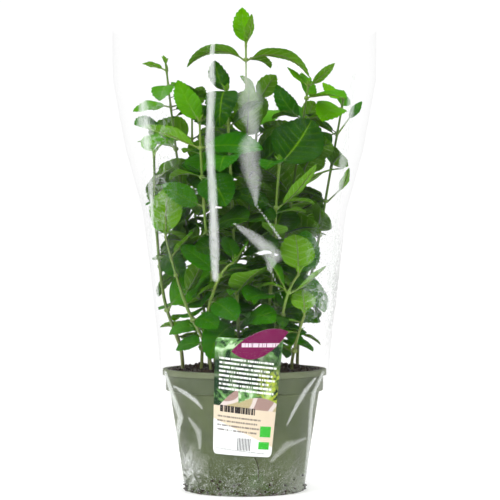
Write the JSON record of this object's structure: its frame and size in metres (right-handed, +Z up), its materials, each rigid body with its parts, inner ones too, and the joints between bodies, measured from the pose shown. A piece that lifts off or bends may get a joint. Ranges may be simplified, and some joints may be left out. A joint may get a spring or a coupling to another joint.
{
  "type": "potted mint plant",
  "caption": "Bushy mint plant rooted in a tapered nursery pot, with a plant card held at the rim and a clear, open-topped film sleeve round the pot and the foliage.",
  "frame": {"origin": "centre of the pot's foot, on the surface that the pot stands on", "axes": "+Z up along the pot's axis, -Y towards the front where the plant card is, +X to the right as seen from the front"},
  "size_m": [0.194, 0.173, 0.354],
  "materials": {
    "pot_plastic": "thin olive plastic with a satin surface",
    "peat": "moist dark peat, matt and crumbly",
    "card_stock": "printed coated card, satin",
    "clear_film": "clear packaging film, glossy",
    "mint_leaf": "fresh quilted leaf, satin above and lighter and matt below",
    "mint_stem": "fresh square stem, green with brown low down"
  },
  "bodies": {
    "root": {"pot": "pot_plastic", "soil": "peat", "plant_card": "card_stock", "sleeve_front": "clear_film", "sleeve_back": "clear_film", "stem_centre_tall": "mint_stem", "stem_left_tall": "mint_stem", "stem_right_tall": "mint_stem", "stem_right_outer": "mint_stem", "stem_left_front": "mint_stem", "stem_centre_front": "mint_stem", "stem_right_front": "mint_stem", "stem_right_low": "mint_stem", "stem_left_low": "mint_stem", "stem_left_outer": "mint_stem", "stem_centre_low": "mint_stem", "stem_right_lowest": "mint_stem", "stem_back_left": "mint_stem", "stem_back_centre": "mint_stem", "stem_back_right": "mint_stem", "leaf_pair_centre_tall_1": "mint_leaf", "leaf_pair_centre_tall_2": "mint_leaf", "leaf_pair_centre_tall_3": "mint_leaf", "leaf_pair_left_tall_1": "mint_leaf", "leaf_pair_left_tall_2": "mint_leaf", "leaf_pair_left_tall_3": "mint_leaf", "leaf_pair_right_tall_1": "mint_leaf", "leaf_pair_right_tall_2": "mint_leaf", "leaf_pair_right_tall_3": "mint_leaf", "leaf_pair_right_outer_1": "mint_leaf", "leaf_pair_right_outer_2": "mint_leaf", "leaf_pair_right_outer_3": "mint_leaf", "leaf_pair_left_front_1": "mint_leaf", "leaf_pair_left_front_2": "mint_leaf", "leaf_pair_left_front_3": "mint_leaf", "leaf_pair_centre_front_1": "mint_leaf", "leaf_pair_centre_front_2": "mint_leaf", "leaf_pair_centre_front_3": "mint_leaf", "leaf_pair_right_front_1": "mint_leaf", "leaf_pair_right_front_2": "mint_leaf", "leaf_pair_right_front_3": "mint_leaf", "leaf_pair_right_low_1": "mint_leaf", "leaf_pair_right_low_2": "mint_leaf", "leaf_pair_left_low_1": "mint_leaf", "leaf_pair_left_low_2": "mint_leaf", "leaf_pair_left_outer_1": "mint_leaf", "leaf_pair_left_outer_2": "mint_leaf", "leaf_pair_centre_low_1": "mint_leaf", "leaf_pair_right_lowest_1": "mint_leaf", "leaf_pair_back_left_1": "mint_leaf", "leaf_pair_back_left_2": "mint_leaf", "leaf_pair_back_left_3": "mint_leaf", "leaf_pair_back_centre_1": "mint_leaf", "leaf_pair_back_centre_2": "mint_leaf", "leaf_pair_back_centre_3": "mint_leaf", "leaf_pair_back_right_1": "mint_leaf", "leaf_pair_back_right_2": "mint_leaf", "leaf_pair_back_right_3": "mint_leaf"}
  },
  "joints": []
}
